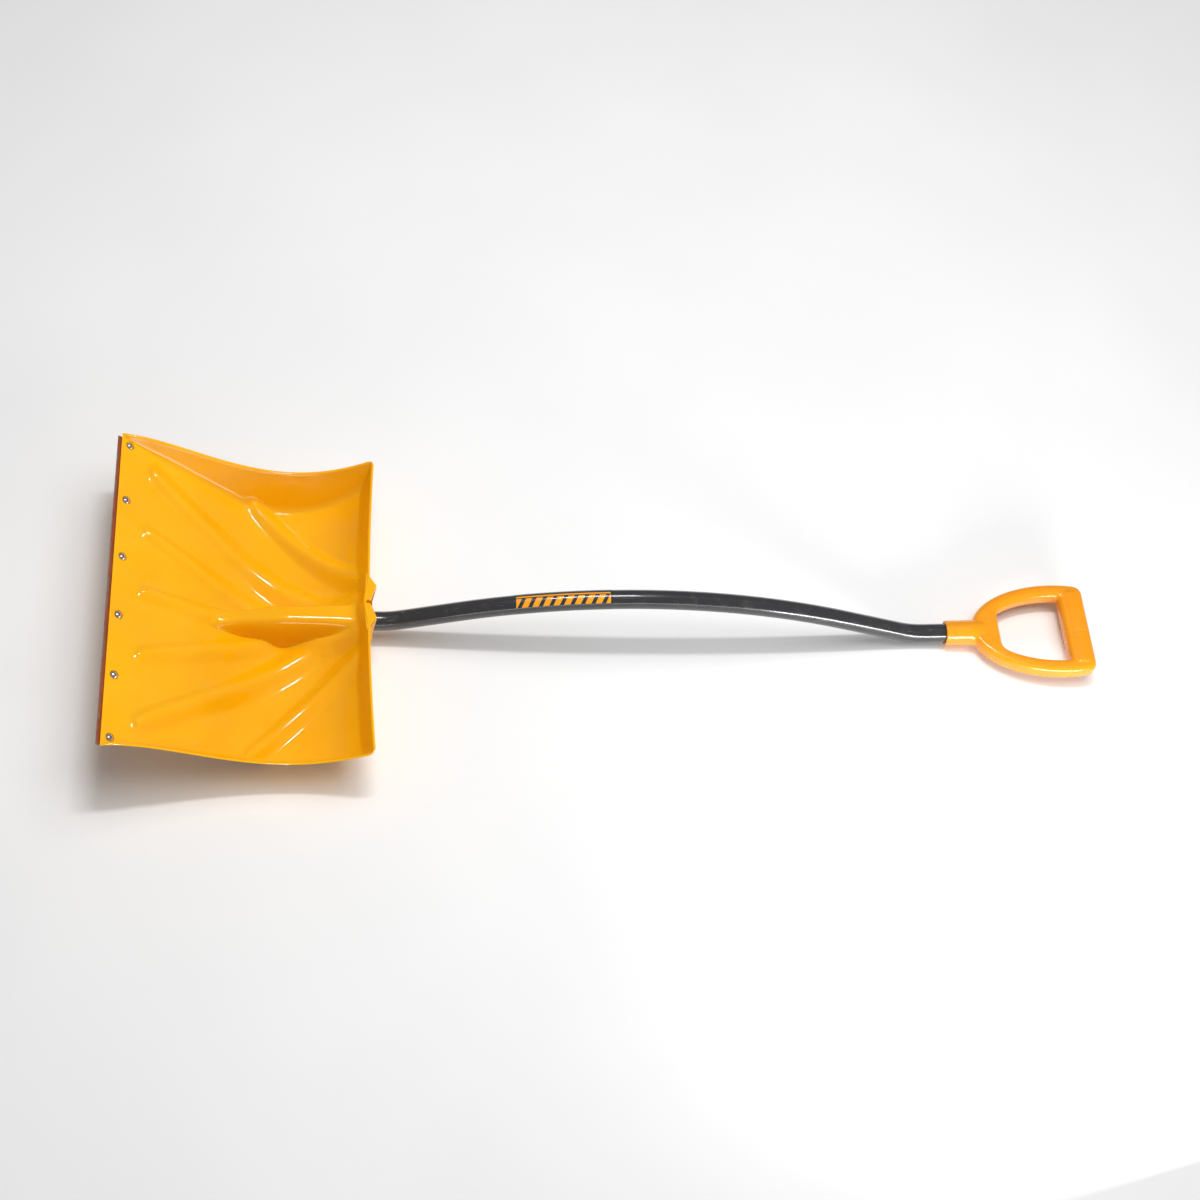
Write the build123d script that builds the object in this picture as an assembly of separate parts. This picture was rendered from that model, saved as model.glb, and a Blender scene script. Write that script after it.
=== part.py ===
"""Snow shovel with a bent steel handle.

The shovel lies on its back on the ground plane z = 0, face up.  x runs along its length, from the cutting
edge (negative) to the hand grip (positive), y runs across, and the shovel is symmetric about y = 0.
The origin is at the middle of its length, on the ground.  Millimetres and degrees.
"""

import os
from math import cos, hypot, pi, radians, sin, sqrt, tan

from build123d import *

# Overall
LENGTH = 1307.4

# Blade: a sheet bent to a scoop, seen in the plane y = 0, with distances from its front edge
SHEET = 3.0
FRONT_WIDTH = 457.0
FRONT_SLOPE = 33.5
REAR_SLOPE = 39.0
BELLY_RADIUS = 128.0
BELLY_FROM_FRONT = 216.0
RIM_FROM_FRONT = 318.5
RIM_SWEEP = 6.5
RIM_DIP = 4.5
RIM_DIP_HALF_WIDTH = 38.0
LIP_SLOPE = 74.0
LIP_HEIGHT = 82.5
LIP_FILLET = 9.0
BELLY_LIFT = 0.16

# Side walls: height of their top edge and half width there, as Bezier control values from front to rear
WALL_SLOPE = 62.0
WALL_FILLET = 9.0
WALL_FILLET_RAMP = 70.0
WALL_DEPTH = 330.0
WALL_TOP_HEIGHTS = (121.0, 117.0, 30.5, 37.0, 86.5)
WALL_TOP_HALF_WIDTHS = (FRONT_WIDTH / 2, 215.0, 220.5)

# Ribs on one side: (start from front, |y|), (end from front, |y|), bow, (half width at start, at end), height
RIBS = (
    ((38, 0), (190, 0), 0, (16, 20), 8.5),
    ((38, 91), (186, 20), 0, (16, 23), 8.5),
    ((42, 185), (262, 24), -4.5, (18, 28), 10.5),
    ((166, 197), (316, 50), -6, (16, 23), 9),
)
RIB_RAMP = 24.0
RIB_FILLET = 6.0

# Rise where the ribs run together round the socket's hood
RISE_HEIGHT = 15.0
RISE_FROM_FRONT = 205.0
RISE_RAMP = 50.0
RISE_HALF_WIDTHS = (22.0, 50.0)

# Socket moulded into the blade, and the hood over it
SOCKET_AXIS_HEIGHT = 34.3
SOCKET_MOUTH_FROM_FRONT = 326.0
SOCKET_WALL = 4.1
FIT_CLEARANCE = 0.2
HOOD_RADIUS = 20.0
HOOD_HALF_WIDTH = 23.5
HOOD_FROM_FRONT = 218.0
NOSE_FROM_FRONT = 140.0
NOSE_HEIGHT = 44.0
NOSE_HALF_WIDTH = 15.0
HOOD_FILLET = 5.0
SOCKET_END_WALL = 6.0
GUSSET_OFFSET = 24.0
GUSSET_THICKNESS = 3.0
GUSSET_REACH = 10.0
EAR_REACH_OUTWARD = 18.0
EAR_SHELF = 3.2
EAR_NOTCH = 5.0
EAR_THICKNESS = 3.5

# Wear strip, its rear corners cut back to clear the side walls, and its rivets, along the front slope
STRIP_LEAD = 3.5
STRIP_DEPTH = 29.0
STRIP_THICKNESS = 1.5
STRIP_HALF_WIDTHS = (229.0, 222.0)
STRIP_CORNER = 4.5
STRIP_GAP = 0.25
RIVET_COUNT = 6
RIVET_PITCH = 86.8
RIVET_FROM_EDGE = 12.5
RIVET_HEAD = 9.4
RIVET_HEAD_HEIGHT = 2.1
RIVET_SHANK = 4.8
RIVET_TAIL = 7.2
RIVET_TAIL_HEIGHT = 2.2
MANDREL = 2.0
HOLE_CLEARANCE = 0.1
END_CLEARANCE = 0.5

# Handle tube: straight runs, and bends as (radius, turn), from the blade to the grip
TUBE_DIAMETER = 25.4
TUBE_WALL = 1.2
LOWER_BEND_FROM_FRONT = 336.0
RUN_IN_SOCKET = 125.0
LOWER_BEND = (100.0, 16.229)
RUN_RISING = 75.0
LONG_BOW = (865.0, -34.95)
RUN_FALLING = 85.2
UPPER_BEND = (97.0, 21.55)
RUN_BEFORE_GRIP = 29.0
RUN_IN_GRIP = 48.0

# D-grip, with distances from the mouth of its socket
GRIP_LENGTH = 201.0
GRIP_SOCKET_DIAMETER = 34.0
GRIP_SOCKET_LENGTH = 34.0
GRIP_CENTRE = 158.0
GRIP_OUTER_RADII = (121.0, 70.3)
GRIP_OPENING_RADII = (100.0, 50.0)
GRIP_THROAT = 75.5
GRIP_THROAT_CORNER = 15.0
GRIP_ARM_THICKNESS = 23.0
GRIP_ARM_ROUNDING = 7.5
GRIP_NECK_FLARE = 60.0
GRIP_NECK = (16.0, 12.0)
GRIP_NECK_FILLET = 18.0
BAR_WIDTH = 35.0
BAR_THICKNESS = 27.0
BAR_END_INSET = 8.0
BAR_CORNER_RADIUS = 14.0

# Self-tapping pan-head screws
SCREW_DIAMETER = 4.2
SCREW_LENGTH = 8.5
SCREW_HEAD = 8.4
SCREW_HEAD_HEIGHT = 2.3
SCREW_SEAT_DEPTH = 2.5
SCREW_RECESS = (5.0, 1.0, 1.3)
SOCKET_SCREWS_FROM_MOUTH = (25.0, 85.0)
GRIP_SCREW_FROM_MOUTH = 24.0

# Decal film round the long bow, in degrees along the bow
DECAL_START = 5.0
DECAL_ANGLE = 8.4
DECAL_FILM = 0.15
DECAL_GAP = 0.02
DECAL_WRAP = 320.0

# Places worked out from the dimensions above
SLOPE_ALONG = Vector(cos(radians(FRONT_SLOPE)), 0, -sin(radians(FRONT_SLOPE)))
SLOPE_UP = Vector(sin(radians(FRONT_SLOPE)), 0, cos(radians(FRONT_SLOPE)))
STRIP_UNDER = SHEET + STRIP_GAP + STRIP_THICKNESS
BLADE_FRONT_X = -LENGTH / 2 + STRIP_LEAD * SLOPE_ALONG.X + STRIP_UNDER * SLOPE_UP.X
BELLY_X = BLADE_FRONT_X + BELLY_FROM_FRONT
RIM_X = BLADE_FRONT_X + RIM_FROM_FRONT
SOCKET_MOUTH = Vector(BLADE_FRONT_X + SOCKET_MOUTH_FROM_FRONT, 0, SOCKET_AXIS_HEIGHT)
TUBE_RADIUS = TUBE_DIAMETER / 2
BORE_RADIUS = TUBE_RADIUS + FIT_CLEARANCE


def bezier(controls, t):
    """Value at t of the Bezier curve with these control values."""
    values = list(controls)
    while len(values) > 1:
        values = [a + (b - a) * t for a, b in zip(values, values[1:])]
    return values[0]


def smooth_step(t):
    t = min(max(t, 0.0), 1.0)
    return t * t * (3 - 2 * t)


def smooth_max(a, b, blend):
    """The larger of two heights, with a fillet where they meet."""
    overlap = max(blend - abs(a - b), 0.0)
    return max(a, b) + overlap * overlap / (4 * blend)


def merge_bumps(a, b, blend):
    """Two bumps as one, with a fillet between them that dies out where either is flat."""
    return smooth_max(a, b, min(blend, 2 * min(a, b)) + 0.01)


def floor_height(x, outward=0.0):
    """Bare scoop above the ground: front slope, round belly, rear slope."""
    radius = BELLY_RADIUS + outward
    along = x - BELLY_X
    front_end = -radius * sin(radians(FRONT_SLOPE))
    rear_end = radius * sin(radians(REAR_SLOPE))
    on_arc = min(max(along, front_end), rear_end)
    height = BELLY_LIFT + SHEET + BELLY_RADIUS - sqrt(radius**2 - on_arc**2)
    height += max(front_end - along, 0.0) * tan(radians(FRONT_SLOPE))
    height += max(along - rear_end, 0.0) * tan(radians(REAR_SLOPE))
    return height


def rib_height(x, y, inset=0.0):
    """Height that the fanned ribs add to the floor; inset makes them narrower, for the underside."""
    from_front = x - BLADE_FRONT_X
    height = 0.0
    for (start, start_y), (end, end_y), bow, (tip, root), peak in RIBS:
        t = (from_front - start) / (end - start)
        along = min(max(t, 0.0), 1.0)
        line = start_y + (end_y - start_y) * along + 4 * bow * along * (1 - along)
        slope = (end_y - start_y + 4 * bow * (1 - 2 * along)) / (end - start)
        past_end = (t - along) * (end - start)
        half_width = tip + (root - tip) * along - inset
        offset = hypot((abs(y) - line) / sqrt(1 + slope * slope), past_end) / half_width
        ramp = smooth_step((from_front - start + tip) / RIB_RAMP)
        height = merge_bumps(height, peak * ramp * (1 - smooth_step(offset)), RIB_FILLET)
    narrow, wide = RISE_HALF_WIDTHS
    beside = 1 - smooth_step((abs(y) - narrow) / (wide - narrow - inset))
    rise = RISE_HEIGHT * beside * smooth_step((from_front - RISE_FROM_FRONT) / RISE_RAMP)
    return merge_bumps(height, rise, RIB_FILLET)


def hood_height(x, y, inset=0.0):
    """Height of the socket's hood and its nose above the floor."""
    rise = smooth_step((x - BLADE_FRONT_X - NOSE_FROM_FRONT) / (HOOD_FROM_FRONT - NOSE_FROM_FRONT))
    crest = NOSE_HEIGHT + (SOCKET_AXIS_HEIGHT + HOOD_RADIUS - NOSE_HEIGHT) * rise - inset - floor_height(x)
    half_width = NOSE_HALF_WIDTH + (HOOD_HALF_WIDTH - NOSE_HALF_WIDTH) * rise
    across = min(abs(y) / (half_width - inset), 1.0)
    return max(crest, 0.0) * (1 - across**4)


def rim_x(y):
    """Inner top edge of the rear lip: swept back at the corners, forward over the socket."""
    sweep = RIM_SWEEP * (y / WALL_TOP_HALF_WIDTHS[-1]) ** 2
    return RIM_X + sweep - RIM_DIP * (1 - smooth_step(abs(y) / RIM_DIP_HALF_WIDTH))


def wall_half_width(x):
    t = min(max((x - BLADE_FRONT_X) / WALL_DEPTH, 0.0), 1.0)
    return bezier(WALL_TOP_HALF_WIDTHS, t)


def wall_top(x):
    t = min(max((x - BLADE_FRONT_X) / WALL_DEPTH, 0.0), 1.0)
    return bezier(WALL_TOP_HEIGHTS, t)


def lip_top(y):
    """Top of the rear lip, rising to the side walls at its ends."""
    half_width = wall_half_width(rim_x(y))
    corner = smooth_step((abs(y) / half_width - 0.8) / 0.2)
    return LIP_HEIGHT + (wall_top(rim_x(y)) - LIP_HEIGHT) * corner


def pan_height(x, y, outward=0.0):
    """Height of the blade's upper face, or of its underside when outward is the sheet's thickness."""
    base = floor_height(x, outward)
    base += merge_bumps(rib_height(x, y, outward / 2), hood_height(x, y, outward), HOOD_FILLET)
    to_wall = wall_half_width(x) + outward / sin(radians(WALL_SLOPE)) - abs(y)
    wall = wall_top(x) - to_wall * tan(radians(WALL_SLOPE))
    to_lip = rim_x(y) + outward / sin(radians(LIP_SLOPE)) - x
    lip = lip_top(y) - to_lip * tan(radians(LIP_SLOPE))
    fillet = 0.5 + (WALL_FILLET + outward) * smooth_step((x - BLADE_FRONT_X) / WALL_FILLET_RAMP)
    return smooth_max(smooth_max(base, wall, fillet), lip, LIP_FILLET + outward)


def spread(*stretches):
    """Fractions 0 to 1 from (end, steps) pairs, so that tightly bent stretches get more lines."""
    values = [0.0]
    for end, steps in stretches:
        start = values[-1]
        values += [start + (end - start) * (i + 1) / steps for i in range(steps)]
    return values


def pan_line(along, outward):
    """Curve across the blade at a fraction of its length, with its points close together where it bends."""
    half = spread((0.13, 10), (0.83, 24), (1.0, 10))
    points = []
    for fraction in [-f for f in reversed(half[1:])] + half:
        x = BLADE_FRONT_X + RIM_FROM_FRONT * along
        y = (wall_half_width(x) + outward / sin(radians(WALL_SLOPE))) * fraction
        rear = rim_x(y) + outward / sin(radians(LIP_SLOPE))
        x = BLADE_FRONT_X + (rear - BLADE_FRONT_X) * along
        points.append((x, y, pan_height(x, y, outward)))
    return Spline(*points)


def between(lower, upper):
    return Face.make_surface_from_curves(lower, upper)


def pan_sheet():
    """The blade's sheet as ruled strips between curves across it, upper face, underside and edges."""
    stations = spread((0.945, 44), (1.0, 9))
    upper = [pan_line(along, 0.0) for along in stations]
    lower = [pan_line(along, SHEET) for along in stations]
    faces = [between(upper[0], lower[0]), between(upper[-1], lower[-1])]
    for i in range(len(stations) - 1):
        faces.append(between(upper[i], upper[i + 1]))
        faces.append(between(lower[i], lower[i + 1]))
        for end in (0, 1):
            near = Line(upper[i] @ end, lower[i] @ end)
            far = Line(upper[i + 1] @ end, lower[i + 1] @ end)
            faces.append(between(near, far))
    return Solid(Shell(faces))


def tube_path(start_run, end_run):
    """Middle line of the handle, from start_run before the lower bend to end_run after the upper one."""
    heading = 0.0
    place = Vector(BLADE_FRONT_X + LOWER_BEND_FROM_FRONT - start_run, 0, SOCKET_AXIS_HEIGHT)
    edges = []
    for piece in (start_run, LOWER_BEND, RUN_RISING, LONG_BOW, RUN_FALLING, UPPER_BEND, end_run):
        direction = Vector(cos(radians(heading)), 0, sin(radians(heading)))
        if isinstance(piece, tuple):
            radius, turn = piece
            chord_heading = radians(heading + turn / 2)
            chord = 2 * radius * sin(radians(abs(turn)) / 2)
            end = place + Vector(cos(chord_heading), 0, sin(chord_heading)) * chord
            edges.append(TangentArc(place, end, tangent=direction))
            heading += turn
        else:
            end = place + direction * piece
            edges.append(Line(place, end))
        place = end
    return Wire(edges)


TUBE_PATH = tube_path(RUN_IN_SOCKET, RUN_BEFORE_GRIP + RUN_IN_GRIP)
GRIP_AXIS = TUBE_PATH % 1
GRIP_MOUTH = TUBE_PATH @ 1 - GRIP_AXIS * RUN_IN_GRIP
GRIP_PLANE = Plane(origin=GRIP_MOUTH, x_dir=GRIP_AXIS, z_dir=GRIP_AXIS.cross(Vector(0, 1, 0)))


def screw_seats():
    """Planes at the screws' heads, their z axes pointing into the tube."""
    socket_radius = BORE_RADIUS + SOCKET_WALL
    seats = []
    for from_mouth in SOCKET_SCREWS_FROM_MOUTH:
        below = SOCKET_MOUTH - Vector(from_mouth, 0, socket_radius - SCREW_SEAT_DEPTH)
        seats.append(Plane(origin=below, x_dir=(1, 0, 0), z_dir=(0, 0, 1)))
    up = GRIP_PLANE.z_dir
    below = GRIP_MOUTH + GRIP_AXIS * GRIP_SCREW_FROM_MOUTH
    below -= up * (GRIP_SOCKET_DIAMETER / 2 - SCREW_SEAT_DEPTH)
    seats.append(Plane(origin=below, x_dir=GRIP_AXIS, z_dir=up))
    return seats


def screw(seat):
    """Pan-head screw with a cross recess, seated with its head below the plane."""
    head = extrude(Circle(SCREW_HEAD / 2), -SCREW_HEAD_HEIGHT)
    head = fillet(head.edges().sort_by(Axis.Z)[0], SCREW_HEAD_HEIGHT * 0.6)
    length, width, depth = SCREW_RECESS
    for turn in (0, 90):
        slot = Rot(0, 0, turn) * Box(length, width, 2 * depth)
        head -= Pos(0, 0, -SCREW_HEAD_HEIGHT) * slot
    shank = extrude(Circle(SCREW_DIAMETER / 2), SCREW_LENGTH)
    shank = chamfer(shank.edges().sort_by(Axis.Z)[-1], SCREW_DIAMETER * 0.3)
    return seat * (head + shank)


def screw_hole(seat):
    """Room for one screw: its seat below the plane and its clearance hole above it."""
    hole = extrude(Circle(SCREW_DIAMETER / 2 + HOLE_CLEARANCE), SCREW_LENGTH)
    hole += extrude(Circle(SCREW_HEAD / 2 + HOLE_CLEARANCE), -SCREW_HEAD_HEIGHT * 3)
    return seat * hole


def make_handle_tube():
    section = Plane(origin=TUBE_PATH @ 0, z_dir=TUBE_PATH % 0) * Circle(TUBE_RADIUS)
    inside = Plane(origin=TUBE_PATH @ 0, z_dir=TUBE_PATH % 0) * Circle(TUBE_RADIUS - TUBE_WALL)
    tube = sweep(section, path=TUBE_PATH) - sweep(inside, path=TUBE_PATH)
    for seat in screw_seats():
        tube -= screw_hole(seat)
    return tube


def make_gusset(side):
    """Upright web from the lip's back down to the socket, and the ear over it at the rim."""
    y = side * GUSSET_OFFSET
    back = rim_x(y) + SHEET / sin(radians(LIP_SLOPE))
    foot = back - (LIP_HEIGHT - SOCKET_AXIS_HEIGHT) / tan(radians(LIP_SLOPE))
    tip = back + GUSSET_REACH
    outline = Polyline(
        (back - SHEET, LIP_HEIGHT - EAR_THICKNESS),
        (tip, LIP_HEIGHT - EAR_THICKNESS),
        (SOCKET_MOUTH.X, SOCKET_AXIS_HEIGHT + TUBE_RADIUS),
        (SOCKET_MOUTH.X, SOCKET_AXIS_HEIGHT - TUBE_RADIUS / 2),
        (foot - SHEET, SOCKET_AXIS_HEIGHT - TUBE_RADIUS / 2),
        close=True,
    )
    web = extrude(Plane.XZ.offset(-y) * make_face(outline), GUSSET_THICKNESS / 2, both=True)
    ear = Polyline(
        (back - SHEET * 2, side * EAR_NOTCH / 2),
        (back + EAR_SHELF - 2, side * EAR_NOTCH / 2),
        (back + EAR_SHELF, side * EAR_NOTCH),
        (tip, y),
        (back - 1, y + side * EAR_REACH_OUTWARD),
        (back - SHEET, y + side * EAR_REACH_OUTWARD),
        close=True,
    )
    return web + extrude(Pos(0, 0, LIP_HEIGHT - EAR_THICKNESS) * make_face(ear), EAR_THICKNESS - 0.3)


def slope_plane(from_edge, y, depth):
    """Plane on the front slope, depth below its upper face, its z axis along the slope's normal."""
    edge = Vector(BLADE_FRONT_X, y, floor_height(BLADE_FRONT_X))
    return Plane(origin=edge + SLOPE_ALONG * from_edge - SLOPE_UP * depth, x_dir=SLOPE_ALONG, z_dir=SLOPE_UP)


def rivet_planes():
    middle = (RIVET_COUNT - 1) / 2
    return [slope_plane(RIVET_FROM_EDGE, (i - middle) * RIVET_PITCH, 0) for i in range(RIVET_COUNT)]


def make_blade():
    mouth = Plane(origin=SOCKET_MOUTH, x_dir=(0, 1, 0), z_dir=(1, 0, 0))
    depth = SOCKET_MOUTH_FROM_FRONT - LOWER_BEND_FROM_FRONT + RUN_IN_SOCKET
    socket = mouth * extrude(Circle(BORE_RADIUS + SOCKET_WALL), -depth - SOCKET_END_WALL)
    blade = pan_sheet() + socket
    for side in (-1, 1):
        blade += make_gusset(side)
    blade -= mouth * extrude(Circle(BORE_RADIUS), -depth - END_CLEARANCE)
    for plane in rivet_planes():
        blade -= plane * Cylinder(RIVET_SHANK / 2 + HOLE_CLEARANCE / 2, 4 * SHEET)
    for seat in screw_seats()[:-1]:
        blade -= screw_hole(seat)
    return blade


def make_wear_strip():
    top = slope_plane(-STRIP_LEAD, 0, SHEET + STRIP_GAP)
    front, rear = STRIP_HALF_WIDTHS
    corner = [(0, front), (STRIP_CORNER, front), (STRIP_CORNER * 2, rear), (STRIP_DEPTH, rear)]
    outline = Polyline(corner + [(along, -across) for along, across in reversed(corner)], close=True)
    strip = top * extrude(make_face(outline), -STRIP_THICKNESS)
    for plane in rivet_planes():
        strip -= plane * Cylinder(RIVET_SHANK / 2 + HOLE_CLEARANCE / 2, 6 * SHEET)
    return strip


def make_rivet():
    """Blind rivet body: domed head above the sheet, shank through sheet and strip, bulbed tail."""
    rise = RIVET_HEAD_HEIGHT
    ball = (rise**2 + (RIVET_HEAD / 2) ** 2) / (2 * rise)
    dome = Pos(0, 0, STRIP_GAP + rise - ball) * Sphere(ball)
    dome &= Pos(0, 0, STRIP_GAP) * extrude(Circle(RIVET_HEAD), rise)
    under = -(STRIP_UNDER + STRIP_GAP)
    shank = Pos(0, 0, under) * extrude(Circle(RIVET_SHANK / 2), STRIP_GAP - under)
    tail = Pos(0, 0, under) * extrude(Circle(RIVET_TAIL / 2), -RIVET_TAIL_HEIGHT)
    tail = fillet(tail.edges(), RIVET_TAIL_HEIGHT * 0.4)
    bore = Cylinder(MANDREL / 2 + HOLE_CLEARANCE / 2, 40)
    return dome + shank + tail - bore


def make_mandrel():
    """The broken-off stub that stays in a blind rivet, with its head under the tail."""
    top = RIVET_HEAD_HEIGHT * 0.75
    bottom = -(STRIP_UNDER + STRIP_GAP + RIVET_TAIL_HEIGHT)
    stub = Pos(0, 0, bottom - 0.2) * extrude(Circle(MANDREL / 2), top - bottom + 0.2)
    return stub + Pos(0, 0, bottom - 0.2 - MANDREL * 0.6) * extrude(Circle(MANDREL * 0.8), MANDREL * 0.6)


def make_decal():
    """Film swept round the bow, open along the tube's underside."""
    bow_start = tube_path(RUN_IN_SOCKET, RUN_IN_GRIP).edges()[3]
    radius = LONG_BOW[0]
    heading = radians(LOWER_BEND[1])
    start = bow_start @ 0 if (bow_start @ 0).X < (bow_start @ 1).X else bow_start @ 1
    centre = start + Vector(sin(heading), 0, -cos(heading)) * radius
    ring = Circle(TUBE_RADIUS + DECAL_GAP + DECAL_FILM) - Circle(TUBE_RADIUS + DECAL_GAP)
    gap = radians(360 - DECAL_WRAP) / 2
    reach = 2 * TUBE_DIAMETER
    open_side = Polyline((0, 0), (-reach, -reach * tan(gap)), (-reach, reach * tan(gap)), close=True)
    ring -= make_face(open_side)
    placed = Plane(origin=start, x_dir=(start - centre).normalized(), z_dir=(cos(heading), 0, sin(heading)))
    bow_axis = Axis(centre, (0, 1, 0))
    film = revolve(placed * ring, axis=bow_axis, revolution_arc=DECAL_ANGLE)
    return film.rotate(bow_axis, DECAL_START)


def grip_outline():
    """Plan of the grip's loop: a neck that flares into a half ellipse, its corners at the bar rounded."""
    body = Pos(GRIP_CENTRE, 0) * Ellipse(*GRIP_OUTER_RADII)
    reach = GRIP_LENGTH - (GRIP_CENTRE - GRIP_OUTER_RADII[0])
    keep = Pos(GRIP_LENGTH - reach / 2, 0) * Rectangle(reach, 2 * GRIP_OUTER_RADII[1])
    body = body & keep
    start, half_width = GRIP_NECK
    neck = Pos((start + GRIP_NECK_FLARE) / 2, 0) * Rectangle(GRIP_NECK_FLARE - start, 2 * half_width)
    body = body + neck
    beside_neck = [v for v in body.vertices() if abs(abs(v.Y) - half_width) < 0.01 and v.X > start + 1]
    body = fillet(beside_neck, GRIP_NECK_FILLET)
    body = fillet(body.vertices().sort_by(Axis.X)[-2:], BAR_CORNER_RADIUS)
    return fillet(body.vertices().sort_by(Axis.X)[:2], half_width * 0.7)


def grip_opening():
    opening = Pos(GRIP_CENTRE, 0) * Ellipse(*GRIP_OPENING_RADII)
    inner_end = GRIP_LENGTH - BAR_WIDTH
    reach = inner_end - GRIP_THROAT
    opening = opening & (Pos(GRIP_THROAT + reach / 2, 0) * Rectangle(reach, 2 * GRIP_OPENING_RADII[1]))
    corners = opening.vertices().sort_by(Axis.X)
    opening = fillet(corners[:2], GRIP_THROAT_CORNER)
    return fillet(opening.vertices().sort_by(Axis.X)[-2:], 4)


def make_d_grip():
    outline = grip_outline()
    opening = grip_opening()
    loop = extrude(outline - opening, GRIP_ARM_THICKNESS / 2, both=True)
    rims = loop.edges().filter_by(lambda e: abs(abs(e.center().Z) - GRIP_ARM_THICKNESS / 2) < 0.01)
    loop = fillet(rims, GRIP_ARM_ROUNDING)
    socket_radius = GRIP_SOCKET_DIAMETER / 2
    straight = Plane.YZ * extrude(Circle(socket_radius), GRIP_SOCKET_LENGTH)
    flare = loft([
        Plane.YZ.offset(GRIP_SOCKET_LENGTH) * Circle(socket_radius),
        Plane.YZ.offset(GRIP_NECK_FLARE) * Ellipse(socket_radius * 1.35, GRIP_ARM_THICKNESS / 2 - 0.4),
    ])
    bar_centre = GRIP_LENGTH - BAR_WIDTH / 2
    bar_half = GRIP_OUTER_RADII[1] - BAR_END_INSET - BAR_THICKNESS / 4
    bar = Plane.XZ * Pos(bar_centre, 0) * extrude(Ellipse(BAR_WIDTH / 2, BAR_THICKNESS / 2), bar_half, both=True)
    grip = loop + straight + flare + bar
    bore = Plane.YZ * extrude(Circle(BORE_RADIUS), RUN_IN_GRIP + 0.5)
    grip = GRIP_PLANE * (grip - bore)
    return grip - screw_hole(screw_seats()[-1])


def make_parts():
    rivets = rivet_planes()
    seats = screw_seats()
    return {
        "blade": make_blade(),
        "wear_strip": make_wear_strip(),
        "wear_strip_rivets": Compound(children=[plane * make_rivet() for plane in rivets]),
        "rivet_mandrels": Compound(children=[plane * make_mandrel() for plane in rivets]),
        "handle_tube": make_handle_tube(),
        "handle_decal": make_decal(),
        "d_grip": make_d_grip(),
        "socket_screws": Compound(children=[screw(seat) for seat in seats[:-1]]),
        "grip_screw": screw(seats[-1]),
    }


os.makedirs("parts", exist_ok=True)
for name, shape in make_parts().items():
    shape.label = name
    export_step(shape, f"parts/{name}.step")
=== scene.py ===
"""Looks of the snow shovel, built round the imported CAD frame.

Metres, x from the cutting edge to the hand grip, y across, z up from the ground the shovel lies on.
The blade is rebuilt as a dense smooth mesh from the same profile as the CAD sheet, and the hand grip is the
CAD grip with its joins blended.  Everything else is the CAD node with a finished material.
"""

from math import cos, pi, radians, sin, tan

import bmesh
import bpy
import numpy as np
from mathutils import Matrix, Vector


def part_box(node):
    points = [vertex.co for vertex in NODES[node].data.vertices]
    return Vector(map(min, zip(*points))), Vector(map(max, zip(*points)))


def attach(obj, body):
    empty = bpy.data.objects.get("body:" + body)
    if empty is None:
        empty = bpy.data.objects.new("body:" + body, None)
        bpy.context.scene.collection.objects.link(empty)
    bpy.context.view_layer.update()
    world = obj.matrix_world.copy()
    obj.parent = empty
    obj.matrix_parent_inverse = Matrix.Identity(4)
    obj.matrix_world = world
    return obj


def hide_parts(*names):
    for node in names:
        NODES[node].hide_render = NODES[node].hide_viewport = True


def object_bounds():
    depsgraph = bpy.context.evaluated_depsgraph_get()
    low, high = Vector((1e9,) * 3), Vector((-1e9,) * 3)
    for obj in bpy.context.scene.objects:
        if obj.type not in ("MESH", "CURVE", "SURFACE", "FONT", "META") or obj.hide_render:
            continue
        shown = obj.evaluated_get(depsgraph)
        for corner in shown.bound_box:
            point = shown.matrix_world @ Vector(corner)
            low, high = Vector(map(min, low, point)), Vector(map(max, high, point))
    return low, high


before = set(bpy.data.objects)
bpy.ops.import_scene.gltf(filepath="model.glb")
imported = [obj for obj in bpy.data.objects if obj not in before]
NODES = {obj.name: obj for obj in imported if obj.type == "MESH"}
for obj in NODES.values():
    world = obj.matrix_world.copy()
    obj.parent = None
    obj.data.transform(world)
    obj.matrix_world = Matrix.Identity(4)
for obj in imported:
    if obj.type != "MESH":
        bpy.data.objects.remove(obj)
CAD_LOW, CAD_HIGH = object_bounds()
MM = 0.001

# The blade's sheet, in millimetres, with distances from its front edge
SHEET = 3.0
FRONT_SLOPE = radians(33.5)
REAR_SLOPE = radians(39.0)
BELLY_RADIUS = 128.0
BELLY_FROM_FRONT = 216.0
BELLY_LIFT = 0.16
RIM_FROM_FRONT = 318.5
RIM_SWEEP = 6.5
RIM_DIP = 4.5
RIM_DIP_HALF_WIDTH = 38.0
LIP_SLOPE = radians(74.0)
LIP_HEIGHT = 82.5
LIP_FILLET = 9.0
WALL_SLOPE = radians(62.0)
WALL_FILLET = 9.0
WALL_FILLET_RAMP = 70.0
WALL_DEPTH = 330.0
WALL_TOP_HEIGHTS = (121.0, 117.0, 30.5, 37.0, 86.5)
WALL_TOP_HALF_WIDTHS = (228.5, 215.0, 220.5)
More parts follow.
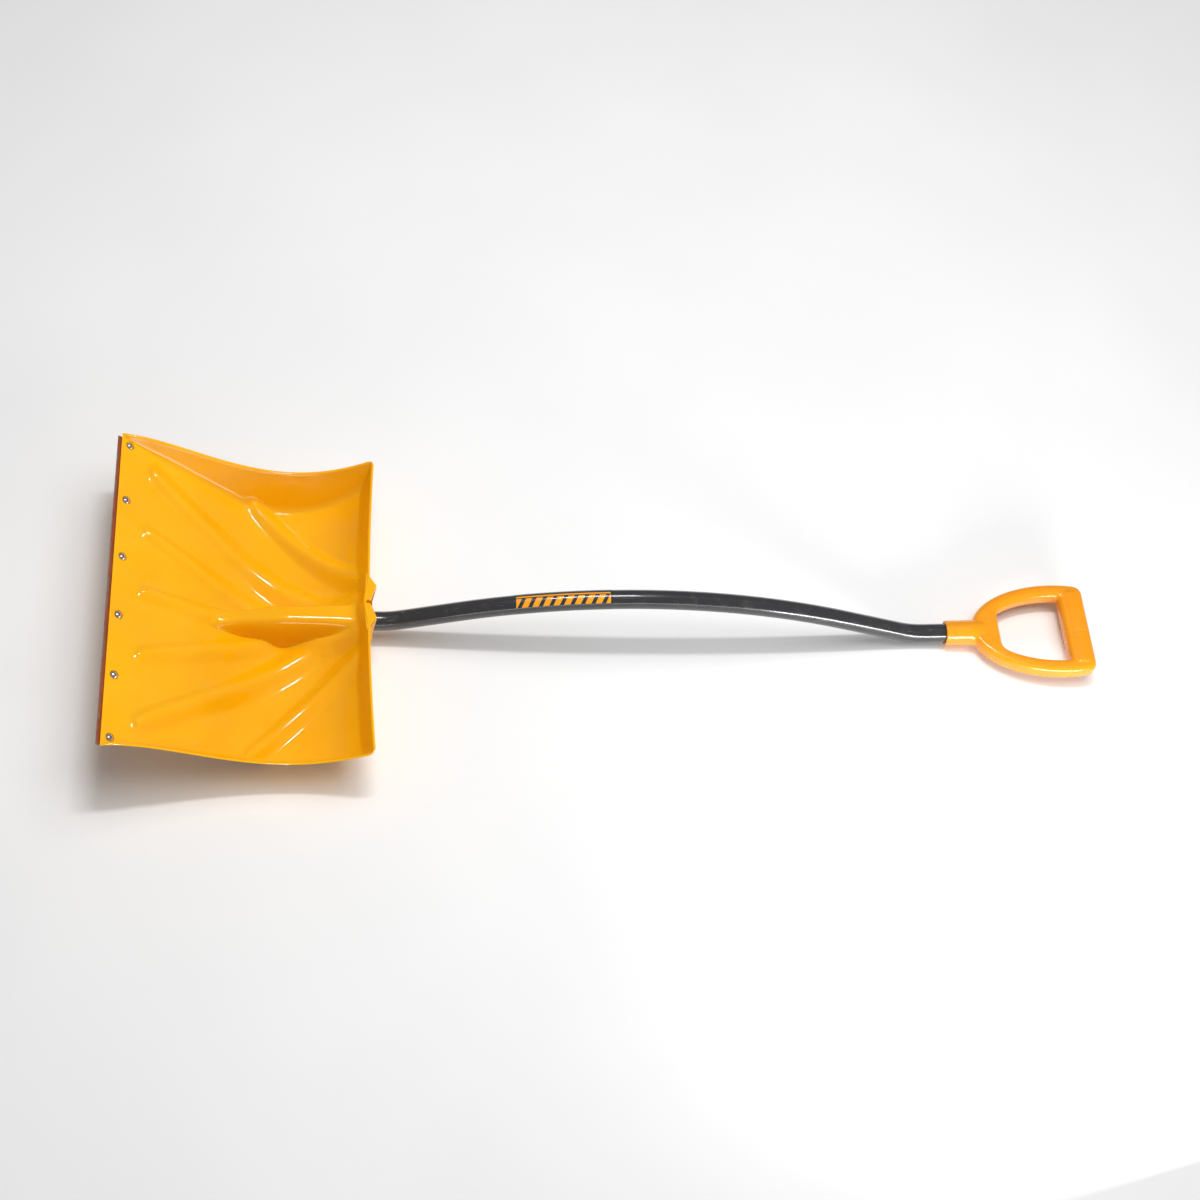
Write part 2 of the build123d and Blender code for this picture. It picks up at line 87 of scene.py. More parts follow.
# Ribs on one side: (start from front, |y|), (end from front, |y|), bow, (half width at start, at end), height
RIBS = (
    ((38, 0), (190, 0), 0, (16, 20), 8.5),
    ((38, 91), (186, 20), 0, (16, 23), 8.5),
    ((42, 185), (262, 24), -4.5, (18, 28), 10.5),
    ((166, 197), (316, 50), -6, (16, 23), 9),
)
RIB_RAMP = 24.0
RIB_FILLET = 6.0
RISE_HEIGHT = 15.0
RISE_FROM_FRONT = 205.0
RISE_RAMP = 50.0
RISE_HALF_WIDTHS = (22.0, 50.0)
SOCKET_AXIS_HEIGHT = 34.3
HOOD_RADIUS = 20.0
HOOD_HALF_WIDTH = 23.5
HOOD_FROM_FRONT = 218.0
NOSE_FROM_FRONT = 140.0
NOSE_HEIGHT = 44.0
NOSE_HALF_WIDTH = 15.0
HOOD_FILLET = 5.0
SOCKET_MOUTH_FROM_FRONT = 326.0
SOCKET_FROM_FRONT = 205.0
SOCKET_RADIUS = 17.0
BORE_RADIUS = 12.9
BORE_FROM_FRONT = 210.5
EDGE_BULGE = 0.8
REAR_CORNER_RADIUS = 15.0
CUTTER_FOOT = 40.0
CUTTER_MARGIN_OUTWARD = 20.0
CUTTER_MARGIN_ABOVE = 10.0
BORE_OVERRUN = 30.0
GUSSET_OFFSET = 24.0
GUSSET_HALF_THICKNESS = 1.5
GUSSET_REACH = 10.0
GUSSET_TOP = 79.0
GUSSET_SOCKET_TOP = 47.0
GUSSET_FOOT = 28.0
EAR_THICKNESS = 3.5
EAR_TOP_GAP = 0.3
EAR_REACH_OUTWARD = 18.0
EAR_SHELF = 3.2
EAR_SHELF_CHAMFER = 2.0
EAR_NOTCH = 5.0
EAR_END = 1.0
RIVET_PITCH = 86.8
RIVET_FROM_EDGE = 12.5
FRONT_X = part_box("blade")[0][0] / MM


# ---------------------------------------------------------------- blade shape

def smooth_step(t):
    t = np.clip(t, 0.0, 1.0)
    return t * t * (3 - 2 * t)


def smooth_max(a, b, blend):
    overlap = np.maximum(blend - np.abs(a - b), 0.0)
    return np.maximum(a, b) + overlap**2 / (4 * blend)


def merge_bumps(a, b, blend):
    """Two bumps as one, with a fillet between them that dies out where either is flat."""
    return smooth_max(a, b, np.minimum(blend, 2 * np.minimum(a, b)) + 0.01)


def bezier(controls, t):
    values = [c + 0 * t for c in controls]
    while len(values) > 1:
        values = [a + (b - a) * t for a, b in zip(values, values[1:])]
    return values[0]


def floor_height(x, outward):
    radius = BELLY_RADIUS + outward
    along = x - (FRONT_X + BELLY_FROM_FRONT)
    front_end = -radius * sin(FRONT_SLOPE)
    rear_end = radius * sin(REAR_SLOPE)
    on_arc = np.clip(along, front_end, rear_end)
    height = BELLY_LIFT + SHEET + BELLY_RADIUS - np.sqrt(radius**2 - on_arc**2)
    height += np.maximum(front_end - along, 0.0) * tan(FRONT_SLOPE)
    return height + np.maximum(along - rear_end, 0.0) * tan(REAR_SLOPE)


def rib_height(x, y, inset):
    from_front = x - FRONT_X
    height = 0 * x
    for (start, start_y), (end, end_y), bow, (tip, root), peak in RIBS:
        t = (from_front - start) / (end - start)
        along = np.clip(t, 0.0, 1.0)
        line = start_y + (end_y - start_y) * along + 4 * bow * along * (1 - along)
        slope = (end_y - start_y + 4 * bow * (1 - 2 * along)) / (end - start)
        past_end = (t - along) * (end - start)
        half_width = tip + (root - tip) * along - inset
        offset = np.hypot((np.abs(y) - line) / np.sqrt(1 + slope**2), past_end) / half_width
        ramp = smooth_step((from_front - start + tip) / RIB_RAMP)
        height = merge_bumps(height, peak * ramp * (1 - smooth_step(offset)), RIB_FILLET)
    inner, outer = RISE_HALF_WIDTHS
    beside = 1 - smooth_step((np.abs(y) - inner) / (outer - inner - inset))
    rise = RISE_HEIGHT * beside * smooth_step((from_front - RISE_FROM_FRONT) / RISE_RAMP)
    return merge_bumps(height, rise, RIB_FILLET)


def hood_height(x, y, inset):
    rise = smooth_step((x - FRONT_X - NOSE_FROM_FRONT) / (HOOD_FROM_FRONT - NOSE_FROM_FRONT))
    crest = NOSE_HEIGHT + (SOCKET_AXIS_HEIGHT + HOOD_RADIUS - NOSE_HEIGHT) * rise - inset - floor_height(x, 0)
    half_width = NOSE_HALF_WIDTH + (HOOD_HALF_WIDTH - NOSE_HALF_WIDTH) * rise
    across = np.minimum(np.abs(y) / (half_width - inset), 1.0)
    return np.maximum(crest, 0.0) * (1 - across**4)


def rim_x(y):
    sweep = RIM_SWEEP * (y / WALL_TOP_HALF_WIDTHS[-1]) ** 2
    return FRONT_X + RIM_FROM_FRONT + sweep - RIM_DIP * (1 - smooth_step(np.abs(y) / RIM_DIP_HALF_WIDTH))


def wall_fraction(x):
    return np.clip((x - FRONT_X) / WALL_DEPTH, 0.0, 1.0)


def lip_top(y):
    at_rim = wall_fraction(rim_x(y))
    corner = smooth_step((np.abs(y) / bezier(WALL_TOP_HALF_WIDTHS, at_rim) - 0.8) / 0.2)
    return LIP_HEIGHT + (bezier(WALL_TOP_HEIGHTS, at_rim) - LIP_HEIGHT) * corner


def pan_height(x, y, outward):
    """Height of the blade's upper face, or of its underside with outward as the sheet's thickness."""
    base = floor_height(x, outward)
    base = base + merge_bumps(rib_height(x, y, outward / 2), hood_height(x, y, outward), HOOD_FILLET)
    at_x = wall_fraction(x)
    to_wall = bezier(WALL_TOP_HALF_WIDTHS, at_x) + outward / sin(WALL_SLOPE) - np.abs(y)
    wall = bezier(WALL_TOP_HEIGHTS, at_x) - to_wall * tan(WALL_SLOPE)
    to_lip = rim_x(y) + outward / sin(LIP_SLOPE) - x
    lip = lip_top(y) - to_lip * tan(LIP_SLOPE)
    fillet = 0.5 + (WALL_FILLET + outward) * smooth_step((x - FRONT_X) / WALL_FILLET_RAMP)
    return smooth_max(smooth_max(base, wall, fillet), lip, LIP_FILLET + outward)


def spread(*stretches):
    """Fractions 0 to 1 from (end, steps) pairs."""
    values = [0.0]
    for end, steps in stretches:
        values += list(np.linspace(values[-1], end, steps + 1)[1:])
    return np.array(values)


def pan_points(outward):
    """Grid of points on one face of the sheet: rows along the blade, columns across it."""
    along = spread((0.06, 20), (0.93, 150), (1.0, 30))[:, None]
    half = spread((0.13, 24), (0.83, 100), (1.0, 36))
    across = np.concatenate([-half[:0:-1], half])[None, :]
    x = FRONT_X + RIM_FROM_FRONT * along + 0 * across
    half_width = bezier(WALL_TOP_HALF_WIDTHS, wall_fraction(x)) + outward / sin(WALL_SLOPE)
    y = half_width * across
    x = FRONT_X + (rim_x(y) + outward / sin(LIP_SLOPE) - FRONT_X) * along
    return np.stack([x, y, pan_height(x, y, outward)], axis=-1)


def sheet_mesh():
    """The sheet as one closed mesh, with its four edges rounded."""
    upper, lower = pan_points(0.0), pan_points(SHEET)
    middle, half = (upper + lower) / 2, (upper - lower) / 2
    angles = np.linspace(0, pi / 2, 5)[1:]
    bulge = EDGE_BULGE

    def unit(v):
        return v / np.linalg.norm(v, axis=-1, keepdims=True)

    front_out = unit(middle[0] - middle[1])
    rear_out = unit(middle[-1] - middle[-2])
    rows = [(middle[0] + front_out * bulge * sin(a), half[0] * cos(a)) for a in reversed(angles)]
    rows += list(zip(middle, half))
    rows += [(middle[-1] + rear_out * bulge * sin(a), half[-1] * cos(a)) for a in angles]
    side_angles = np.linspace(0, pi, 9)[1:-1]
    loops = []
    for mid, thick in rows:
        right_out, left_out = unit(mid[-1] - mid[-2]), unit(mid[0] - mid[1])
        right = [mid[-1] + thick[-1] * cos(a) + right_out * bulge * sin(a) for a in side_angles]
        left = [mid[0] - thick[0] * cos(a) + left_out * bulge * sin(a) for a in side_angles]
        loops.append(np.concatenate([mid + thick, right, (mid - thick)[::-1], left]))
    grid = np.clip(np.array(loops) * MM, *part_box("blade"))
    count, around = grid.shape[:2]
    index = np.arange(count * around).reshape(count, around)
    following = np.roll(index, -1, axis=1)
    quads = np.stack([index[:-1], index[1:], following[1:], following[:-1]], axis=-1).reshape(-1, 4)
    mesh = bpy.data.meshes.new("blade_sheet")
    mesh.from_pydata(grid.reshape(-1, 3).tolist(), [], quads.tolist())
    made = bmesh.new()
    made.from_mesh(mesh)
    bmesh.ops.remove_doubles(made, verts=made.verts, dist=1e-6)
    bmesh.ops.dissolve_degenerate(made, edges=made.edges, dist=1e-7)
    bmesh.ops.recalc_face_normals(made, faces=made.faces)
    made.to_mesh(mesh)
    made.free()
    return mesh


# ---------------------------------------------------------------- mesh helpers

def new_object(name, mesh):
    made = bpy.data.objects.new(name, mesh)
    bpy.context.scene.collection.objects.link(made)
    return made


def rod(start, end, radius, name="rod", segments=96):
    """Closed cylinder between two points, in metres."""
    made = bmesh.new()
    axis = Vector(end) - Vector(start)
    turn = axis.to_track_quat("Z", "Y").to_matrix().to_4x4()
    place = Matrix.Translation((Vector(start) + Vector(end)) / 2) @ turn
    bmesh.ops.create_cone(made, cap_ends=True, segments=segments, radius1=radius, radius2=radius,
                          depth=axis.length, matrix=place)
    mesh = bpy.data.meshes.new(name)
    made.to_mesh(mesh)
    made.free()
    return new_object(name, mesh)


def prism(outline, low, high, axis, name):
    """Closed prism: outline points in a plane, spanning low to high along axis 'Y' or 'Z'."""
    made = bmesh.new()
    if axis == "Z":
        ring = [made.verts.new((a * MM, b * MM, low * MM)) for a, b in outline]
        lift = Vector((0, 0, (high - low) * MM))
    else:
        ring = [made.verts.new((a * MM, low * MM, b * MM)) for a, b in outline]
        lift = Vector((0, (high - low) * MM, 0))
    face = made.faces.new(ring)
    raised = bmesh.ops.extrude_face_region(made, geom=[face])
    moved = [v for v in raised["geom"] if isinstance(v, bmesh.types.BMVert)]
    bmesh.ops.translate(made, vec=lift, verts=moved)
    bmesh.ops.recalc_face_normals(made, faces=made.faces)
    mesh = bpy.data.meshes.new(name)
    made.to_mesh(mesh)
    made.free()
    return new_object(name, mesh)


def applied(thing):
    """Bakes an object's modifiers into its mesh."""
    graph = bpy.context.evaluated_depsgraph_get()
    graph.update()
    mesh = bpy.data.meshes.new_from_object(thing.evaluated_get(graph))
    thing.modifiers.clear()
    thing.data = mesh
    return thing


def combine(base, tools, operation):
    for tool in tools:
        step = base.modifiers.new("combine", "BOOLEAN")
        step.operation = operation
        step.solver = "MANIFOLD"
        step.object = tool
        applied(base)
        bpy.data.objects.remove(tool)
    return base


def smooth(thing, angle=40):
    for polygon in thing.data.polygons:
        polygon.use_smooth = True
    thing.data.set_sharp_from_angle(angle=radians(angle))


# ---------------------------------------------------------------- materials

class Look:
    """A procedural material: a small wrapper that makes nodes and links them."""

    def __init__(self, name, **sockets):
        self.material = bpy.data.materials.new(name)
        self.material.use_nodes = True
        self.tree = self.material.node_tree
        self.shader = self.tree.nodes["Principled BSDF"]
        self.place = self.node("ShaderNodeTexCoord").outputs["Object"]
        for key, value in sockets.items():
            self.shader.inputs[key.replace("_", " ")].default_value = value

    def node(self, kind, inputs=(), **settings):
        made = self.tree.nodes.new(kind)
        for key, value in settings.items():
            setattr(made, key, value)
        for key, value in dict(inputs).items():
            self.feed(made.inputs[key], value)
        return made

    def feed(self, socket, value):
        if isinstance(value, bpy.types.NodeSocket):
            self.tree.links.new(value, socket)
        else:
            socket.default_value = value

    def noise(self, scale, detail=4.0, stretch=(1, 1, 1), distortion=0.0):
        spot = self.node("ShaderNodeMapping", {"Vector": self.place, "Scale": stretch}).outputs[0]
        made = self.node("ShaderNodeTexNoise", {"Vector": spot, "Scale": scale, "Detail": detail,
                                               "Distortion": distortion})
        return made.outputs["Fac"]

    def remap(self, value, low, high, to_low=0.0, to_high=1.0):
        made = self.node("ShaderNodeMapRange", {"Value": value, "From Min": low, "From Max": high,
                                               "To Min": to_low, "To Max": to_high})
        return made.outputs["Result"]

    def maths(self, operation, a, b=0.0):
        return self.node("ShaderNodeMath", {0: a, 1: b}, operation=operation).outputs[0]

    def between(self, value, low, high):
        above, below = self.maths("GREATER_THAN", value, low), self.maths("LESS_THAN", value, high)
        return self.maths("MULTIPLY", above, below)

    def mix(self, amount, a, b):
        made = self.node("ShaderNodeMix", {0: amount}, data_type="RGBA")
        self.feed(made.inputs[6], a)
        self.feed(made.inputs[7], b)
        return made.outputs[2]

    def bump(self, height, strength, distance, below=None):
        inputs = {"Height": height, "Strength": strength, "Distance": distance}
        if below is not None:
            inputs["Normal"] = below
        return self.node("ShaderNodeBump", inputs).outputs[0]

    def split(self):
        return self.node("ShaderNodeSeparateXYZ", {"Vector": self.place}).outputs


# Ring round each rivet head: partly rust seep, partly painted contact shadow
RIVET_RING_RAGGEDNESS = 0.6 * MM
RIVET_RING_INNER = 5.0 * MM
RIVET_RING_OUTER = 6.6 * MM
RIVET_RING_STRENGTH = 0.85
RUST_AND_SHADE_BROWN = (0.20, 0.055, 0.02, 1)


def rivet_rust_and_contact_shade(look, tone):
    """Dark brown ring round each rivet's head: partly rust seep, partly painted contact shadow where the head
    sits on the plastic.
    """
    x, y = look.split()[:2]
    pitch = RIVET_PITCH * MM
    row = (FRONT_X + RIVET_FROM_EDGE * cos(FRONT_SLOPE)) * MM
    cell = look.maths("FRACT", look.maths("DIVIDE", y, pitch))
    across = look.maths("MULTIPLY", look.maths("SUBTRACT", cell, 0.5), pitch)
    along = look.maths("DIVIDE", look.maths("SUBTRACT", x, row), cos(FRONT_SLOPE))
    squares = look.maths("ADD", look.maths("POWER", across, 2), look.maths("POWER", along, 2))
    away = look.maths("SQRT", squares)
    ragged = look.remap(look.noise(260, 4), 0.3, 0.7, -RIVET_RING_RAGGEDNESS, RIVET_RING_RAGGEDNESS)
    away = look.maths("ADD", away, ragged)
    front_strip = look.maths("LESS_THAN", x, row + RIVET_FROM_EDGE * MM)
    # Darkest next to the head and fading outward: rust seep plus painted contact shadow
    rust_and_shade = look.remap(away, RIVET_RING_INNER, RIVET_RING_OUTER, RIVET_RING_STRENGTH, 0.0)
    return look.mix(look.maths("MULTIPLY", rust_and_shade, front_strip), tone, RUST_AND_SHADE_BROWN)


def plastic(name, colour, deep, roughness, grain, riveted=False):
    """Moulded polypropylene: faint flow marks, orange peel, a few rubbed spots and fine scratches."""
    look = Look(name, IOR=1.49, Specular_IOR_Level=0.4, Coat_Weight=0.5, Coat_Roughness=0.03,
                Subsurface_Weight=0.1, Subsurface_Radius=(1.0, 0.45, 0.1), Subsurface_Scale=0.006)
    cloud = look.remap(look.noise(9, 3), 0.35, 0.65)
    flow = look.remap(look.noise(30, 2, (0.25, 1, 1), 0.6), 0.4, 0.7)
    tone = look.mix(look.maths("MULTIPLY", cloud, 0.5), colour, deep)
    tone = look.mix(look.maths("MULTIPLY", flow, 0.12), tone, (0.95, 0.52, 0.05, 1))
    scratches = look.remap(look.noise(140, 2, (0.06, 1.6, 1.6), 0.4), 0.64, 0.72)
    tone = look.mix(look.maths("MULTIPLY", scratches, 0.05), tone, (1.0, 0.75, 0.3, 1))
    if riveted:
        tone = rivet_rust_and_contact_shade(look, tone)
    look.feed(look.shader.inputs["Base Color"], tone)
    rub = look.remap(look.noise(22, 5), 0.45, 0.75, 0.0, 0.1)
    rough = look.maths("ADD", rub, look.maths("MULTIPLY", scratches, 0.1))
    look.feed(look.shader.inputs["Roughness"], look.maths("ADD", rough, roughness))
    peel = look.bump(look.noise(grain, 2), 0.25, 0.0002)
    wave = look.bump(look.noise(26, 2), 0.18, 0.0012, peel)
    look.feed(look.shader.inputs["Normal"], look.bump(scratches, 0.12, 0.0001, wave))
    return look.material


def tube_paint():
    """Glossy charcoal powder coat over steel, with fine peel, dust and faint handling scratches."""
    look = Look("tube_powder_coat", IOR=1.5, Coat_Weight=0.7, Coat_Roughness=0.07, Metallic=0.15)
    dust = look.remap(look.noise(60, 6), 0.5, 0.8)
    tone = look.mix(look.maths("MULTIPLY", dust, 0.35), (0.034, 0.034, 0.037, 1), (0.075, 0.073, 0.07, 1))
    scratches = look.remap(look.noise(260, 2, (0.05, 1, 1), 0.5), 0.66, 0.74)
    tone = look.mix(look.maths("MULTIPLY", scratches, 0.22), tone, (0.2, 0.2, 0.2, 1))
    look.feed(look.shader.inputs["Base Color"], tone)
    rough = look.maths("ADD", look.remap(dust, 0, 1, 0.2, 0.36), look.maths("MULTIPLY", scratches, 0.15))
    look.feed(look.shader.inputs["Roughness"], rough)
    peel = look.bump(look.noise(420, 3), 0.3, 0.00012)
    look.feed(look.shader.inputs["Normal"], look.bump(scratches, 0.2, 0.00005, peel))
    return look.material


def strip_metal():
    """Brown-bronze coated steel, scraped grey along its cutting edge; the brown is partly the coat and partly
    a painted reflection of the orange blade.
    """
    look = Look("wear_strip_metal", Metallic=0.15, IOR=1.5)
    x = look.split()[0]
    patch = look.remap(look.noise(45, 6), 0.35, 0.68)
    # Brown tone: partly the coat, partly a painted reflection of the orange blade
    tone = look.mix(patch, (0.32, 0.065, 0.025, 1), (0.38, 0.10, 0.04, 1))
    grime = look.remap(look.noise(170, 5, (1.6, 0.4, 1)), 0.55, 0.72)
    tone = look.mix(look.maths("MULTIPLY", grime, 0.55), tone, (0.10, 0.045, 0.03, 1))
    ragged = look.maths("ADD", x, look.remap(look.noise(90, 5), 0.3, 0.7, -0.002, 0.002))
    scraped = look.remap(ragged, CAD_LOW.x + 0.0003, CAD_LOW.x + 0.0018, 1.0, 0.0)
    tone = look.mix(scraped, tone, (0.24, 0.17, 0.13, 1))
    look.feed(look.shader.inputs["Base Color"], tone)
    rough = look.remap(look.noise(210, 4, (1.5, 0.3, 1)), 0.3, 0.7, 0.32, 0.55)
    look.feed(look.shader.inputs["Roughness"], rough)
    scores = look.bump(look.noise(300, 3, (2.2, 0.12, 1)), 0.35, 0.0001)
    look.feed(look.shader.inputs["Normal"], look.bump(patch, 0.25, 0.0002, scores))
    return look.material


def bare_metal(name, colour, roughness):
    """Bare bright metal with turned or drawn marks and a little tarnish."""
    look = Look(name, Metallic=1.0)
    tarnish = look.remap(look.noise(500, 4), 0.45, 0.7)
    darker = tuple(c * 0.55 for c in colour[:3]) + (1,)
    tone = look.mix(look.maths("MULTIPLY", tarnish, 0.7), colour, darker)
    look.feed(look.shader.inputs["Base Color"], tone)
    look.feed(look.shader.inputs["Roughness"], look.remap(tarnish, 0, 1, roughness, roughness + 0.2))
    look.feed(look.shader.inputs["Normal"], look.bump(look.noise(1500, 3), 0.25, 0.00004))
    return look.material


# Print on the film; the bands are how far round the tube a point faces, -1 to 1
BAR_COUNT = 9.5
BAR_SHARE = 0.6
BAR_SLANT = 6 * MM
BAR_BAND = (-0.6, 0.35)
RULE_BAND = (0.45, 0.62)
PRINT_MARGINS = (3 * MM, 4 * MM)


def decal_film():
    """Dark printed film with a row of plain slanted bars under one long rule."""
    look = Look("decal_film_print", IOR=1.5, Coat_Weight=0.6, Coat_Roughness=0.05)
    x = look.split()[0]
    normal = look.node("ShaderNodeNewGeometry").outputs["Normal"]
    round_tube = look.node("ShaderNodeVectorMath", {0: normal, 1: (0.0, 1.0, 0.35)},
                           operation="DOT_PRODUCT").outputs["Value"]
    facing = look.node("ShaderNodeSeparateXYZ", {"Vector": normal}).outputs["Z"]
    upper_side = look.maths("GREATER_THAN", facing, 0.1)
    low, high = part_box("handle_decal")
    slanted = look.maths("SUBTRACT", x, look.maths("MULTIPLY", round_tube, BAR_SLANT))
    pitch = (high[0] - low[0]) / BAR_COUNT
    cell = look.maths("FRACT", look.maths("DIVIDE", look.maths("SUBTRACT", slanted, low[0]), pitch))
    bar = look.maths("LESS_THAN", cell, BAR_SHARE)
    band = look.between(round_tube, *BAR_BAND)
    inside = look.between(x, low[0] + PRINT_MARGINS[0], high[0] - PRINT_MARGINS[1])
    rule = look.between(round_tube, *RULE_BAND)
    printed = look.maths("MAXIMUM", look.maths("MULTIPLY", bar, band), rule)
    printed = look.maths("MULTIPLY", look.maths("MULTIPLY", printed, inside), upper_side)
    worn = look.remap(look.noise(350, 5), 0.64, 0.72, 1.0, 0.75)
    tone = look.mix(look.maths("MULTIPLY", printed, worn), (0.03, 0.03, 0.032, 1), (0.95, 0.36, 0.01, 1))
    look.feed(look.shader.inputs["Base Color"], tone)
    look.feed(look.shader.inputs["Roughness"], look.remap(look.noise(80, 4), 0.3, 0.7, 0.18, 0.32))
    look.feed(look.shader.inputs["Normal"], look.bump(look.noise(700, 2), 0.2, 0.00005))
    return look.material


def paint_node(node, material):
    slots = NODES[node].material_slots
    for slot in slots:
        slot.material = material
    if not slots:
        NODES[node].data.materials.append(material)


YELLOW_ORANGE = (0.98, 0.47, 0.001, 1)
DEEP_ORANGE = (0.95, 0.40, 0.001, 1)
GRIP_ORANGE = (0.86, 0.31, 0.003, 1)
GRIP_DEEP_ORANGE = (0.80, 0.25, 0.003, 1)
blade_plastic = plastic("blade_polypropylene", YELLOW_ORANGE, DEEP_ORANGE, 0.1, 420, riveted=True)
grip_plastic = plastic("grip_polypropylene", GRIP_ORANGE, GRIP_DEEP_ORANGE, 0.24, 520)


# ---------------------------------------------------------------- blade

def blade_gussets():
    """The two upright webs behind the lip, with the ears that widen them at the rim."""
    parts = []
    mouth = FRONT_X + SOCKET_MOUTH_FROM_FRONT
    for side in (-1, 1):
        y = GUSSET_OFFSET * side
        back = float(rim_x(np.array(y))) + SHEET / sin(LIP_SLOPE)
        foot = back - (LIP_HEIGHT - SOCKET_AXIS_HEIGHT) / tan(LIP_SLOPE)
        tip = back + GUSSET_REACH
        web = (
            (back - SHEET, GUSSET_TOP),
            (tip, GUSSET_TOP),
            (mouth, GUSSET_SOCKET_TOP),
            (mouth, GUSSET_FOOT),
            (foot - SHEET, GUSSET_FOOT),
        )
        parts.append(prism(web, y - GUSSET_HALF_THICKNESS, y + GUSSET_HALF_THICKNESS, "Y", "web"))
        outer_end = y + side * EAR_REACH_OUTWARD
        ear = [
            (back - SHEET * 2, side * EAR_NOTCH / 2),
            (back + EAR_SHELF - EAR_SHELF_CHAMFER, side * EAR_NOTCH / 2),
            (back + EAR_SHELF, side * EAR_NOTCH),
            (tip, y),
            (back - EAR_END, outer_end),
            (back - SHEET, outer_end),
        ]
        parts.append(prism(ear, LIP_HEIGHT - EAR_THICKNESS, LIP_HEIGHT - EAR_TOP_GAP, "Z", "ear"))
    return parts


def rear_corner_cutters():
    """Upright blocks that round off the two rear corners of the scoop."""
    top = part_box("blade")[1][2] / MM + CUTTER_MARGIN_ABOVE
    radius = REAR_CORNER_RADIUS
    x = float(rim_x(np.array(WALL_TOP_HALF_WIDTHS[-1]))) + SHEET / sin(LIP_SLOPE) + EDGE_BULGE
    y = WALL_TOP_HALF_WIDTHS[-1] + SHEET / sin(WALL_SLOPE) + EDGE_BULGE
    cutters = []
    for side in (-1, 1):
        arc = [(x - radius + radius * cos(a), side * (y - radius + radius * sin(a)))
               for a in np.linspace(0, pi / 2, 13)]
        far_x, far_y = x + CUTTER_MARGIN_OUTWARD, side * (y + CUTTER_MARGIN_OUTWARD)
        outside = [(x - radius, far_y), (far_x, far_y), (far_x, side * (y - radius))]
        cutters.append(prism(arc + outside, CUTTER_FOOT, top, "Z", "corner"))
    return cutters


def make_blade():
    blade = new_object("blade_scoop", sheet_mesh())
    mouth = FRONT_X + SOCKET_MOUTH_FROM_FRONT
    height = SOCKET_AXIS_HEIGHT * MM
    socket = rod(((FRONT_X + SOCKET_FROM_FRONT) * MM, 0, height), (mouth * MM, 0, height), SOCKET_RADIUS * MM)
    combine(blade, [socket] + blade_gussets(), "UNION")
    bore_start = ((FRONT_X + BORE_FROM_FRONT) * MM, 0, height)
    bore = rod(bore_start, ((mouth + BORE_OVERRUN) * MM, 0, height), BORE_RADIUS * MM)
    combine(blade, [bore] + rear_corner_cutters(), "DIFFERENCE")
    smooth(blade, 38)
    blade.data.materials.clear()
    blade.data.materials.append(blade_plastic)
    return blade


blade = make_blade()
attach(blade, "root")
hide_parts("blade")


# ---------------------------------------------------------------- hand grip

GRIP_VOXEL = 0.9 * MM
GRIP_SMOOTHING_STEPS = 9


def make_grip():
    grip = new_object("d_grip_moulded", NODES["d_grip"].data.copy())
    fine = grip.modifiers.new("even", "REMESH")
    fine.mode = "VOXEL"
    fine.voxel_size = GRIP_VOXEL
    blend = grip.modifiers.new("blend", "SMOOTH")
    blend.factor = 0.5
    blend.iterations = GRIP_SMOOTHING_STEPS
    applied(grip)
    smooth(grip, 60)
    grip.data.materials.clear()
    grip.data.materials.append(grip_plastic)
    return grip


grip = make_grip()
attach(grip, "root")
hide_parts("d_grip")


# ---------------------------------------------------------------- CAD nodes

screw_metal = bare_metal("zinc_screw", (0.62, 0.62, 0.6, 1), 0.28)
LOOKS = {
    "wear_strip": strip_metal(),
    "wear_strip_rivets": bare_metal("rivet_aluminium", (0.86, 0.86, 0.88, 1), 0.2),
    "rivet_mandrels": bare_metal("mandrel_steel", (0.16, 0.15, 0.14, 1), 0.35),
    "handle_tube": tube_paint(),
    "handle_decal": decal_film(),
    "socket_screws": screw_metal,
    "grip_screw": screw_metal,
}
for node, look in LOOKS.items():
    paint_node(node, look)


# ---------------------------------------------------------------- stage, lights and camera

FLOOR_HALF = 30.0
WORLD_LIGHT = 0.2
HAND_SIDE = Vector((0.56, -0.07, 0.02))
CAMERA_PLACE = (-0.39492, -1.442258, 2.350075)
CAMERA_RIGHT = Vector((0.9907559, -0.06374104, 0.119749))
CAMERA_UP = Vector((-0.01061563, 0.84359947, 0.536868))
CAMERA_LENS = 62.389
CAMERA_SENSOR = 36.0


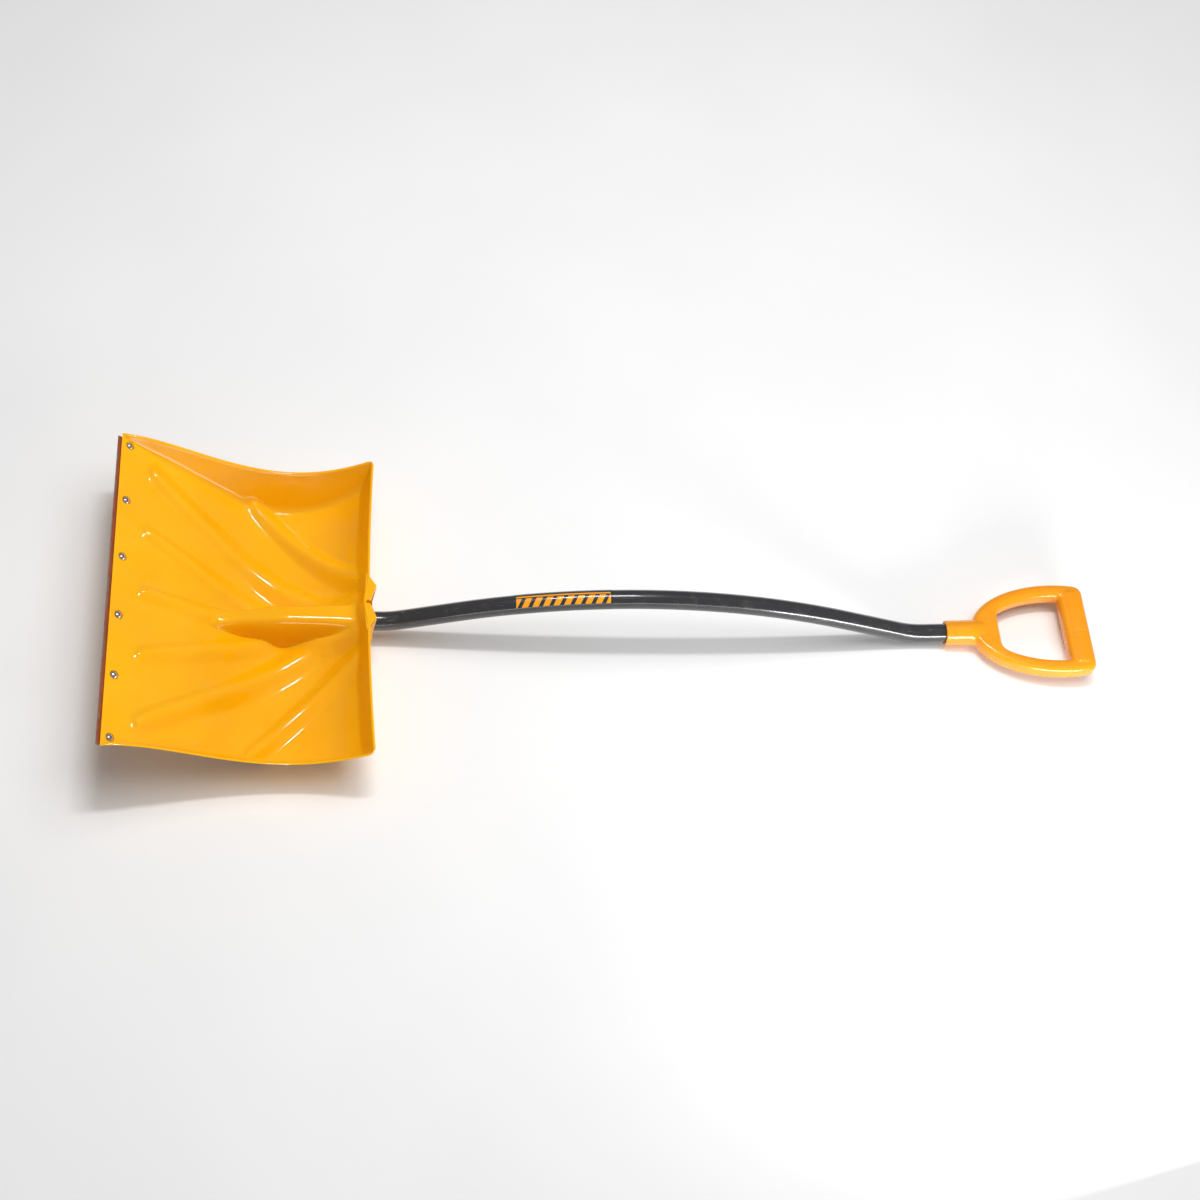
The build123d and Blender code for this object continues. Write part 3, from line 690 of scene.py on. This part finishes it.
def make_floor():
    half = FLOOR_HALF
    low = CAD_LOW.z
    corners = [(-half, -half, low), (half, -half, low), (half, half, low), (-half, half, low)]
    mesh = bpy.data.meshes.new("floor")
    mesh.from_pydata(corners, [], [(0, 1, 2, 3)])
    floor = new_object("floor", mesh)
    look = Look("studio_floor", Specular_IOR_Level=0.2)
    tone = look.mix(look.remap(look.noise(3, 3), 0.3, 0.7), (0.86, 0.86, 0.86, 1), (0.89, 0.89, 0.89, 1))
    look.feed(look.shader.inputs["Base Color"], tone)
    look.feed(look.shader.inputs["Roughness"], look.remap(look.noise(40, 3), 0.3, 0.7, 0.6, 0.7))
    mesh.materials.append(look.material)


def softbox(name, offset, target, size, power, mirrored=True):
    """Area light at an offset from the spot it points at, seen in reflections or not."""
    data = bpy.data.lights.new(name, "AREA")
    data.shape = "RECTANGLE"
    data.size, data.size_y = size
    data.energy = power
    lamp = bpy.data.objects.new(name, data)
    bpy.context.scene.collection.objects.link(lamp)
    lamp.visible_glossy = mirrored
    place = target + Vector(offset)
    lamp.location = place
    lamp.rotation_mode = "QUATERNION"
    lamp.rotation_quaternion = (target - place).to_track_quat("-Z", "Y")


def make_lights():
    centre = (CAD_LOW + CAD_HIGH) / 2
    softbox("key", (-0.05, 0.42, 2.8), centre, (0.9, 0.18), 28)
    softbox("fill", (0.6, 0.2, 3.0), centre, (2.6, 2.6), 65, mirrored=False)
    softbox("front", (0.4, -2.6, 0.35), centre, (2.6, 0.3), 11)
    softbox("grip_side", (0.15, -0.6, 0.16), HAND_SIDE, (0.4, 0.12), 4.5)
    world = bpy.data.worlds.new("studio")
    bpy.context.scene.world = world
    world.use_nodes = True
    background = world.node_tree.nodes["Background"].inputs
    background["Color"].default_value = (1, 1, 1, 1)
    background["Strength"].default_value = WORLD_LIGHT


def make_camera():
    """Camera looking down over the shovel's near side."""
    data = bpy.data.cameras.new("camera")
    data.sensor_width = CAMERA_SENSOR
    data.lens = CAMERA_LENS
    camera = bpy.data.objects.new("camera", data)
    bpy.context.scene.collection.objects.link(camera)
    turn = Matrix((CAMERA_RIGHT, CAMERA_UP, CAMERA_RIGHT.cross(CAMERA_UP))).transposed()
    camera.matrix_world = Matrix.Translation(CAMERA_PLACE) @ turn.to_4x4()
    data.clip_start, data.clip_end = 0.05, 100
    bpy.context.scene.camera = camera


make_floor()
make_lights()
make_camera()
bpy.context.scene.view_settings.view_transform = "Standard"
